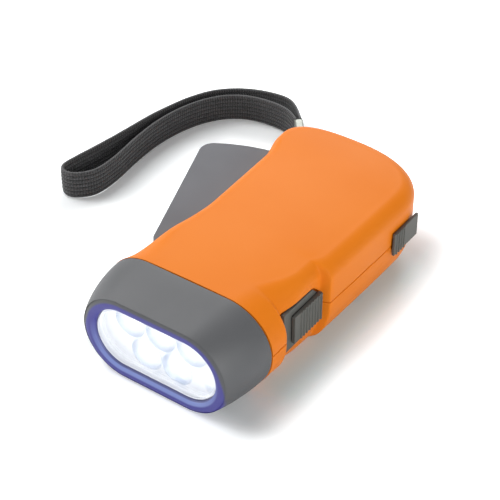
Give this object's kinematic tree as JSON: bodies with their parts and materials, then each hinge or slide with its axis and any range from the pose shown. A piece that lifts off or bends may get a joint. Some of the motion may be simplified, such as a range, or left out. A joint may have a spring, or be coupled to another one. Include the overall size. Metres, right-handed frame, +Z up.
{
  "type": "dynamo flashlight",
  "caption": "Squeeze-lever dynamo torch: orange clamshell housing, grey head cap with LED cups, side lever driving a gear train and flywheel generator, thumb sliders and wrist strap.",
  "frame": {"origin": "middle of the flat underside, under the middle of the housing's length", "axes": "+Z up out of the top shell, -Y towards the lens, +Y towards the tail, +X towards the side with the two thumb sliders; the squeeze lever is on the -X side"},
  "size_m": [0.1095, 0.1288, 0.0284],
  "materials": {
    "upper_shell": "fine satin grain",
    "lower_shell": "fine satin grain",
    "head_cap": "satin",
    "lens": "clear, polished",
    "reflector": "bright plated",
    "led_1": "clear epoxy",
    "led_2": "clear epoxy",
    "led_3": "clear epoxy",
    "led_4": "clear epoxy",
    "led_5": "clear epoxy",
    "led_board": "solder mask",
    "squeeze_lever": "satin",
    "lever_pivot_pin": "bright",
    "return_spring": "bright",
    "idler_gear": "moulded nylon",
    "clutch_gear": "moulded nylon",
    "idler_axle": "bright",
    "clutch_axle": "bright",
    "flywheel_axle": "bright",
    "flywheel": "dark oiled",
    "ring_magnet": "sintered ferrite, dull",
    "stator_core": "dark oiled",
    "coil_bobbin": "moulded",
    "coil": "enamelled copper wire",
    "switch_plate": "satin",
    "switch_slider": "satin",
    "switch_contact": "moulded",
    "lock_slider": "satin",
    "cell_1": "nickel-plated can",
    "cell_2": "nickel-plated can",
    "cell_3": "nickel-plated can",
    "cell_contact_1": "bright",
    "cell_contact_2": "bright",
    "shell_screw_head": "bright",
    "shell_screw_side": "bright",
    "shell_screw_tail": "bright",
    "strap_ferrule": "bright",
    "strap_loop": "braided cord",
    "wrist_strap": "woven webbing"
  },
  "bodies": {
    "housing": {"upper_shell": "upper_shell", "lower_shell": "lower_shell", "head_cap": "head_cap", "lens": "lens", "reflector": "reflector", "led_1": "led_1", "led_2": "led_2", "led_3": "led_3", "led_4": "led_4", "led_5": "led_5", "led_board": "led_board", "lever_pivot_pin": "lever_pivot_pin", "return_spring": "return_spring", "idler_axle": "idler_axle", "clutch_axle": "clutch_axle", "flywheel_axle": "flywheel_axle", "stator_core": "stator_core", "coil_bobbin": "coil_bobbin", "coil": "coil", "switch_plate": "switch_plate", "switch_contact": "switch_contact", "cell_1": "cell_1", "cell_2": "cell_2", "cell_3": "cell_3", "cell_contact_1": "cell_contact_1", "cell_contact_2": "cell_contact_2", "shell_screw_head": "shell_screw_head", "shell_screw_side": "shell_screw_side", "shell_screw_tail": "shell_screw_tail", "strap_ferrule": "strap_ferrule", "strap_loop": "strap_loop", "wrist_strap": "wrist_strap"},
    "lever": {"squeeze_lever": "squeeze_lever"},
    "idler": {"idler_gear": "idler_gear"},
    "clutch": {"clutch_gear": "clutch_gear"},
    "rotor": {"flywheel": "flywheel", "ring_magnet": "ring_magnet"},
    "switch": {"switch_slider": "switch_slider"},
    "lock": {"lock_slider": "lock_slider"}
  },
  "joints": [
    {"name": "lever_squeeze", "type": "hinge", "parent": "housing", "child": "lever", "pos_m": [-0.0145, -0.0083, 0.01425], "axis": [0, 0, -1], "range_deg": [0, 19.5], "stiffness_Nm_per_rad": 0.235, "springref_deg": -19.48, "deforming": ["return_spring"]},
    {"name": "idler_turn", "type": "hinge", "parent": "housing", "child": "idler", "pos_m": [0.00695, 0.0097, 0.0138], "axis": [0, 0, 1], "range_deg": [0, 117]},
    {"name": "clutch_turn", "type": "hinge", "parent": "housing", "child": "clutch", "pos_m": [0.01335, -0.00139, 0.0173], "axis": [0, 0, -1], "range_deg": [0, 257.4]},
    {"name": "flywheel_turn", "type": "hinge", "parent": "housing", "child": "rotor", "pos_m": [0.00979, -0.01116, 0.012], "axis": [0, 0, 1], "range_deg": [0, 411.84]},
    {"name": "switch_slide", "type": "slide", "parent": "housing", "child": "switch", "axis": [0, -1, 0], "range_m": [0, 0.002]},
    {"name": "lock_slide", "type": "slide", "parent": "housing", "child": "lock", "axis": [0, -1, 0], "range_m": [0, 0.004]}
  ],
  "couplings": [
    {"joint": "idler_turn", "follows": "lever_squeeze", "ratio": 6},
    {"joint": "clutch_turn", "follows": "lever_squeeze", "ratio": 13.2},
    {"joint": "flywheel_turn", "follows": "lever_squeeze", "ratio": 21.12}
  ]
}
